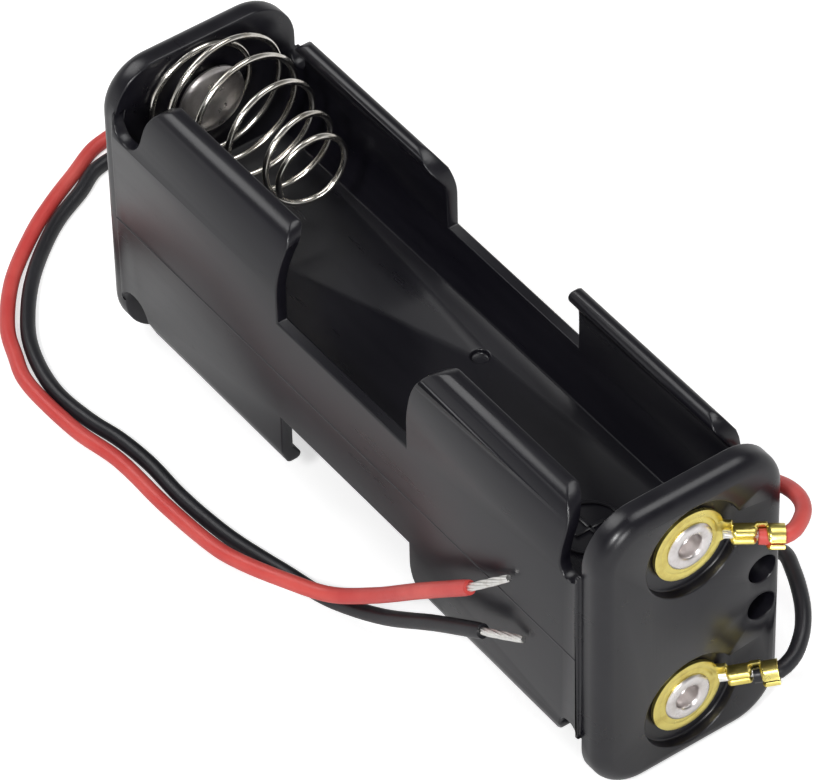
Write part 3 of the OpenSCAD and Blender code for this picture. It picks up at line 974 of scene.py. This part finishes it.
ROUTE_RED: list[Point] = [
    (31.75, 4.48, 20.39), (32.27, 5.28, 20.33), (32.66, 6.05, 20.28), (32.56, 6.99, 20.2),
    (31.9, 8.1, 20), (31.14, 8.93, 19.75), (30.11, 9.58, 19.4), (29.01, 9.98, 19),
    (27.73, 10.23, 18.45), (26.55, 10.38, 17.8), (24, 11.3, 15.7), (20.6, 13.1, 11.4),
    (17.4, 14.8, 6.5), (14.4, 15.8, 3), (11, 16.4, 1.1), (6, 16.6, 0.63),
    (-8, 16.6, 0.6), (-20, 16.3, 0.6), (-30, 15.3, 0.6), (-38, 13.5, 0.6),
    (-44.2, 10.1, 0.6), (-47.1, 5.8, 0.6), (-47.14, 1.99, 0.6), (-45.47, -1.47, 0.6),
    (-43.72, -4.79, 0.6), (-41.79, -7.79, 0.6), (-38.52, -11.74, 0.6), (-34.65, -14.76, 0.6),
    (-31.6, -16.09, 0.6), (-28.29, -17.04, 0.6), (-22.3, -16.93, 0.6), (-17.56, -16.12, 0.6),
    (-11.81, -16.04, 0.6), (-6.31, -15.83, 0.95), (-3.22, -15.32, 1.3), (0.66, -14.05, 1.8),
    (4.19, -12.55, 2.3), (8.3, -11.45, 4.95), (13.03, -10.86, 9.01), (18.1, -10.2, 13.2),
]
ROUTE_BLACK: list[Point] = [
    (31.75, 4.4, 6.43), (32.27, 5.18, 6.6), (32.68, 5.95, 6.76), (32.5, 7.12, 6.95),
    (32.09, 8.02, 7.2), (31.16, 9.2, 7.5), (29.81, 10.32, 7.7), (28.14, 11.33, 7.7),
    (26.12, 12.37, 7.4), (23.98, 13.27, 6.8), (21.2, 13.6, 4.8), (17.4, 14.2, 2.5),
    (13.4, 14.4, 0.95), (8, 14.3, 0.63), (-6, 14, 0.6), (-18, 13.6, 0.6),
    (-28, 12.6, 0.6), (-36, 10.6, 0.6), (-42, 7.2, 0.6), (-44.9, 3.4, 0.6),
    (-44.95, 0.4, 0.6), (-43.55, -2.05, 0.6), (-41.94, -5.22, 0.6), (-39.88, -8.04, 0.6),
    (-37.6, -10.52, 0.6), (-35.06, -12.61, 0.6), (-32.28, -14.33, 0.6), (-29.07, -15.42, 0.6),
    (-25.91, -15.84, 0.6), (-22.41, -15.51, 0.6), (-19.42, -14.85, 0.6), (-15.97, -14.52, 0.6),
    (-11.95, -14.61, 0.6), (-8.39, -14.4, 0.6), (-5.19, -13.96, 0.6), (-0.91, -12.98, 0.63),
    (3.44, -12.07, 0.85), (8.6, -11.12, 2.8), (14.17, -10.43, 6.4), (19.2, -9.9, 9.5),
]


# ---------------------------------------------------------------------------
# Contacts
# ---------------------------------------------------------------------------


@dataclass
class SpringContact:
    """One conical spring, wound from its own sizes and seated on its end plate."""

    which: str
    seat: Point
    turned: bool
    off_up: float
    keep: float = 0.3

    def build(self, maker: CoilMaker) -> None:
        """Winds the spring and seats it on its plate.

        Args:
            maker: winds the spring.
        """
        turn = Matrix.Rotation(math.pi, 4, "Y") if self.turned else Matrix.Identity(4)
        coil = maker.grow(f"{self.which}_contact_spring", Matrix.Translation(self.seat) @ turn,
                          {"Off Up": self.off_up}, angle=60.0)
        settle(coil, f"spring_{self.which}")
        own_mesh(coil)


@dataclass
class TubularRivet:
    """A semi-tubular rivet: head in the cell bay, rolled end over the brass."""

    node: str
    name: str
    height: float
    end: int
    stand_off: float
    head: float = 2.9 * MM
    head_t: float = 0.5 * MM
    flare: float = 1.95 * MM
    hollow: float = 1.0 * MM
    floor_t: float = 1.35 * MM

    def outline(self) -> list[Point]:
        """The rivet's outline from the middle of its hollow to the middle of its head."""
        t, b, f, h = PLAN.shank, PLAN.brass, self.flare, self.hollow
        mm = MM
        under = -self.floor_t - self.stand_off
        lip = [(-0.95 * mm, 0.0), (-0.93 * mm, 0.5 * h), (-0.86 * mm, 0.82 * h), (-0.7 * mm, 0.96 * h),
               (-0.3 * mm, 0.98 * h), (b - 0.05 * mm, h), (b + 0.10 * mm, h + 0.04 * mm),
               (b + 0.21 * mm, h + 0.16 * mm), (b + 0.27 * mm, h + 0.34 * mm), (b + 0.28 * mm, h + 0.5 * mm),
               (b + 0.25 * mm, f - 0.24 * mm), (b + 0.17 * mm, f - 0.09 * mm), (b + 0.07 * mm, f - 0.01 * mm),
               (b, f - 0.03 * mm), (b - 0.01 * mm, f - 0.12 * mm)]
        shank = [(b - 0.01 * mm, t), (0.0, t), (under + 0.01 * mm, t)]
        e = self.head
        rim = [(under, e - 0.08 * mm), (under - 0.06 * mm, e), (under - 0.22 * mm, e),
               (under - self.head_t * 0.8, e - 0.14 * mm), (under - self.head_t, e - 0.4 * mm),
               (under - self.head_t * 1.12, e * 0.6), (under - self.head_t * 1.2, e * 0.3),
               (under - self.head_t * 1.18, e * 0.1), (under - self.head_t * 1.17, 0.0)]
        return [(x, r, 0.0) for x, r in lip + shank + rim]

    def build(self, maker: LatheMaker) -> None:
        """Turns the rivet and sets it in its plate.

        Args:
            maker: turns outlines round X.
        """
        turn = Matrix.Identity(4) if self.end > 0 else Matrix.Rotation(math.pi, 4, "Z")
        place = Matrix.Translation((self.end * PLAN.recess_floor, 0, self.height)) @ turn
        rivet = maker.grow(self.name, place, None, spread_outline(self.outline(), maker.points))
        settle(rivet, self.node)


def spread_outline(outline: list[Point], count: int) -> list[Point]:
    """Adds points on an outline's longest stretches until it has a given number.

    Args:
        outline: the outline.
        count: how many points to return.

    Returns:
        The outline.
    """
    line = [Vector(p) for p in outline]
    while len(line) < count:
        gaps = [(b - a).length for a, b in zip(line, line[1:])]
        k = gaps.index(max(gaps))
        line.insert(k + 1, (line[k] + line[k + 1]) / 2)
    return [tuple(p) for p in line]


@dataclass
class CrimpLug:
    """A brass lug: coined ring, neck, rising strip, strand crimp, window and insulation crimp."""

    polarity: Polarity
    sheet: float = 0.30 * MM
    ring_out: float = 3.0 * MM
    ring_in: float = 1.47 * MM
    end: float = 4.4 * MM
    step: float = 0.055 * MM
    points: int = 33

    FLAT_RING = [(0, 0), (0.35, 0), (0.7, 0), (1.1, 0)]
    FLAT_NECK = [(0, 0), (0.33, 0), (0.66, 0), (1.0, 0)]
    FLAT_STRIP = [(0, 0), (0.25, 0), (0.5, 0.0), (0.76, 0.02)]
    STRAND_CRIMP = [(0, 0), (0.28, 0.0), (0.43, 0.06), (0.50, 0.24), (0.50, 0.68), (0.47, 0.87),
                    (0.335, 0.97), (0.205, 0.88), (0.165, 0.75), (0.16, 0.60)]
    WINDOW = [(0, 0), (0.30, 0.0), (0.5, 0.03), (0.62, 0.14), (0.67, 0.36)]
    SKIN_CRIMP = [(0, 0.02), (0.30, 0.07), (0.58, 0.27), (0.745, 0.6), (0.765, 0.95), (0.62, 1.27),
                  (0.385, 1.46), (0.22, 1.60), (0.19, 1.66)]

    def stations(self) -> list[tuple[float, list[Flat]]]:
        """Where each section stands along the lug, in millimetres, and its right half."""
        return [
            (-1.25, self.FLAT_RING), (-0.8, self.FLAT_RING), (-0.15, self.FLAT_NECK), (0.45, self.FLAT_STRIP),
            (0.74, self.FLAT_STRIP), (0.92, self.STRAND_CRIMP), (2.28, self.STRAND_CRIMP),
            (2.5, self.WINDOW), (3.12, self.WINDOW), (3.34, self.SKIN_CRIMP), (self.end / MM, self.SKIN_CRIMP),
        ]

    def full_section(self, half: list[Flat]) -> list[Flat]:
        """Mirrors a half section and spreads its points evenly.

        Args:
            half: the right half, in millimetres.

        Returns:
            The whole section.
        """
        right = even_points(half, self.points // 2 + 1)
        return [(-a, b) for a, b in reversed(right[1:])] + right

    def bend_place(self, s: float) -> tuple[Vector, Vector]:
        """The middle of the sheet and its outward direction, some way along the lug.

        Args:
            s: the distance from the bend, in metres.

        Returns:
            The point and the direction.
        """
        where = FRAMES[self.polarity]
        rise = math.radians(where.rise)
        corner = Vector((PLAN.brass / 2, where.bend + 0.049 * MM, 0))
        level, rising = Vector((0, 1, 0)), Vector((math.sin(rise), math.cos(rise), 0))
        soft = 0.4 * MM
        if s <= -soft or s >= soft:
            along = level if s < 0 else rising
            place = corner + along * s
        else:
            t = (s + soft) / (2 * soft)
            a, b = corner - level * soft, corner + rising * soft
            place = a * (1 - t) ** 2 + corner * (2 * t * (1 - t)) + b * t * t
            along = ((corner - a) * (1 - t) + (b - corner) * t).normalized()
        return place, Vector((along.y, -along.x, 0))

    def strip(self) -> bpy.types.Object:
        """Lofts the strip with its two crimps and gives it the sheet's thickness.

        Returns:
            The strip, in the lug's own frame.
        """
        keys = [(s * MM, self.full_section(half)) for s, half in self.stations()]
        first, last = keys[0][0], keys[-1][0]
        count = round((last - first) / self.step)
        verts, faces = [], []
        for i in range(count + 1):
            s = first + (last - first) * i / count
            k = max(j for j in range(len(keys) - 1) if keys[j][0] <= s + 1e-9)
            t = (s - keys[k][0]) / (keys[k + 1][0] - keys[k][0])
            t = min(max(t * t * (3 - 2 * t), 0.0), 1.0)
            place, out = self.bend_place(s)
            for (a, b), (c, d) in zip(keys[k][1], keys[k + 1][1]):
                across, up = (a + (c - a) * t) * MM, (b + (d - b) * t) * MM
                verts.append(place + out * up + Vector((0, 0, across)))
            if i:
                n = self.points
                base = (i - 1) * n
                faces += [(base + j, base + j + 1, base + n + j + 1, base + n + j) for j in range(n - 1)]
        strip = mesh_object(f"{self.polarity.value}_lug_strip", verts, faces, BRASS)
        body = strip.modifiers.new("sheet", "SOLIDIFY")
        body.thickness, body.offset = self.sheet, 0.0
        edge = strip.modifiers.new("edge", "BEVEL")
        edge.width, edge.segments, edge.limit_method, edge.angle_limit = 0.05 * MM, 2, "ANGLE", math.radians(50)
        return strip

    def ring_outline(self) -> list[Point]:
        """The ring's section, with a coined line round the rivet."""
        a, b, t, c = self.ring_in, self.ring_out, PLAN.brass, 0.06 * MM
        g = 2.42 * MM
        line = [(0.0, a + c), (0.0, g), (0.0, b - c), (c * 0.3, b - c * 0.3), (c, b), (t - c, b),
                (t - c * 0.3, b - c * 0.3), (t, b - c), (t, g + 0.09 * MM), (t - 0.035 * MM, g), (t, g - 0.09 * MM),
                (t, 2.1 * MM), (t, a + c), (t - c * 0.3, a + c * 0.3), (t - c, a), (c, a),
                (c * 0.3, a + c * 0.3), (0.0, a + c)]
        return [(x, r, 0.0) for x, r in line]

    def build(self, maker: LatheMaker) -> bpy.types.Object:
        """Builds the lug.

        Args:
            maker: turns outlines round X.

        Returns:
            The lug.
        """
        name = self.polarity.value
        strip = self.strip()
        graph = bpy.context.evaluated_depsgraph_get()
        work = bmesh.new()
        work.from_mesh(strip.evaluated_get(graph).to_mesh())
        strip.modifiers.clear()
        bpy.data.objects.remove(strip)
        washer = maker.grow("washer_part", Matrix.Identity(4), None,
                            spread_outline(self.ring_outline(), maker.points))
        work.from_mesh(washer.data)
        bpy.data.objects.remove(washer)
        work.transform(FRAMES[self.polarity].ring())
        lug = from_work(f"{name}_crimp_lug", work, BRASS, 40.0)
        settle(lug, f"lug_{name}")
        return lug


# ---------------------------------------------------------------------------
# Studio
# ---------------------------------------------------------------------------


@dataclass
class Studio:
    """Floor, lamps, world and camera."""

    azimuth: float = 54.944
    elevation: float = 44.684
    roll: float = -1.492
    distance: float = 467.81 * MM
    aim: Point = (-0.797 * MM, -1.864 * MM, 12.677 * MM)
    lens: float = 287.82
    floor_size: float = 1.6

    def axes(self) -> Matrix:
        """The camera's turn: its right, up and backward directions."""
        a, e = math.radians(self.azimuth), math.radians(self.elevation)
        back = Vector((math.sin(a) * math.cos(e), -math.cos(a) * math.cos(e), math.sin(e)))
        level = Vector((math.cos(a), math.sin(a), 0))
        upright = back.cross(level)
        r = math.radians(self.roll)
        right = level * math.cos(r) + upright * math.sin(r)
        up = upright * math.cos(r) - level * math.sin(r)
        return Matrix((right, up, back)).transposed()

    def camera(self) -> None:
        """Sets the camera."""
        turn = self.axes()
        data = bpy.data.cameras.new("camera")
        data.lens = self.lens
        data.sensor_width = 36.0
        data.clip_start = 0.02
        made = bpy.data.objects.new("camera", data)
        bpy.context.collection.objects.link(made)
        place = Vector(self.aim) + turn.col[2] * self.distance
        made.matrix_world = Matrix.Translation(place) @ turn.to_4x4()
        bpy.context.scene.camera = made

    def lamp(self, name: str, place: Point, size: Flat, power: float) -> None:
        """Adds a soft box that faces the object.

        Args:
            name: its name.
            place: where it hangs, in metres.
            size: its width and height, in metres.
            power: its power, in watts.
        """
        data = bpy.data.lights.new(name, "AREA")
        data.shape = "RECTANGLE"
        data.size, data.size_y = size
        data.energy = power
        made = bpy.data.objects.new(name, data)
        bpy.context.collection.objects.link(made)
        made.location = place
        made.rotation_euler = (Vector(place) - Vector(self.aim)).to_track_quat("Z", "Y").to_euler()

    def floor(self) -> None:
        """Lays the floor."""
        half = self.floor_size / 2
        mesh = bpy.data.meshes.new("studio_floor")
        mesh.from_pydata([(-half, -half, 0), (half, -half, 0), (half, half, 0), (-half, half, 0)], [], [(0, 1, 2, 3)])
        mesh.materials.append(FLOOR.material())
        made = bpy.data.objects.new("studio_floor", mesh)
        bpy.context.collection.objects.link(made)

    def world(self) -> None:
        """Sets the surround: white behind the object, pale at the horizon and dim overhead."""
        made = bpy.data.worlds.new("studio_world")
        bpy.context.scene.world = made
        made.use_nodes = True
        made.node_tree.nodes.clear()
        tree = Tree(made.node_tree)
        ray = tree.node("ShaderNodeLightPath")
        seen = tree.value(ray.outputs["Is Camera Ray"])
        mirrored = tree.value(ray.outputs["Is Glossy Ray"]) + tree.value(ray.outputs["Is Transmission Ray"])
        way = tree.node("ShaderNodeSeparateXYZ", None, {0: tree.node("ShaderNodeTexCoord").outputs["Generated"]})
        height = tree.value(way.outputs[2])
        surround = height.ramp(0.05, 0.55, 0.60, 0.12) + mirrored * height.ramp(0.0, 0.3, 0.25, 0.0)
        glow = tree.node("ShaderNodeBackground", None,
                         {"Color": (1.0, 1.0, 1.0, 1.0), "Strength": seen + (1 - seen) * surround})
        tree.node("ShaderNodeOutputWorld", None, {"Surface": glow.outputs[0]})

    def build(self) -> None:
        """Sets the whole studio."""
        bpy.context.scene.view_settings.view_transform = "Standard"
        self.floor()
        self.lamp("key_light", (0.30, -0.45, 0.55), (0.11, 0.11), 2.4)
        self.lamp("side_light", (0.52, -0.18, 0.30), (0.16, 0.22), 1.0)
        self.lamp("left_box", (-0.36, -0.14, 0.46), (0.30, 0.30), 0.9)
        self.lamp("top_box", (0.02, 0.22, 0.55), (0.34, 0.26), 0.9)
        self.world()
        log.info("studio set")


# ---------------------------------------------------------------------------
# Assembly
# ---------------------------------------------------------------------------


def main() -> None:
    """Builds the scene in order."""
    studio = Studio()
    studio.camera()
    up, low = PLAN.middle + PLAN.axis, PLAN.middle - PLAN.axis
    lathe = LatheMaker("rivet_lathe", RIVET_TIN, {"Girth": 1.0})
    washers = LatheMaker("washer_lathe", BRASS, {"Girth": 1.0})
    strands = StrandMaker("strand_bundle", TINNED, {
        "Length": 4 * MM, "Strand Diameter": 0.235 * MM, "Lay Radius": 0.205 * MM, "Twists": 0.6, "Taper": 0.3,
    })
    lugs = {polarity: CrimpLug(polarity).build(washers) for polarity in Polarity}
    Lead(Polarity.RED, ROUTE_RED, (3, 1.2, 2.7), RED_SKIN).build(strands, lugs[Polarity.RED])
    Lead(Polarity.BLACK, ROUTE_BLACK, (3.4, 1, 1.4), BLACK_SKIN).build(strands, lugs[Polarity.BLACK])
    Shell().build()
    coils = CoilMaker("contact_coil", SPRING_WIRE, {
        "Wire Diameter": 0.5 * MM, "Free Length": 12.5 * MM, "Big Radius": 5.45 * MM,
        "Small Radius": 2.95 * MM, "Clamp Radius": 2.0 * MM, "Clamp Turns": 1.25, "Rising Turns": 4.37,
        "Closing Turns": 0.75, "Phase": math.radians(156), "Seat Gap": 0.02 * MM, "Pitch": 1.29,
        "Taper": 1.88, "Lean": 0.5 * MM, "Off Side": 0.35 * MM, "Off Up": 0.35 * MM,
    })
    SpringContact("upper", (-PLAN.plate_inner, 0, up), False, 0.35 * MM).build(coils)
    SpringContact("lower", (PLAN.plate_inner, 0, low), True, -0.35 * MM).build(coils)
    clamp = 0.54 * MM
    for node, name, height, end, off in (
        ("rivet_upper_lug_end", "upper_lug_rivet", up, 1, 0.0),
        ("rivet_lower_lug_end", "lower_lug_rivet", low, 1, clamp),
        ("rivet_upper_link_end", "upper_link_rivet", up, -1, clamp),
        ("rivet_lower_link_end", "lower_link_rivet", low, -1, 0.0),
    ):
        TubularRivet(node, name, height, end, off).build(lathe)
    settle(rounded_copy("series_link", "brass_series_link", BRASS, 0.06 * MM), "series_link")
    studio.build()


if __name__ == "__main__":
    main()
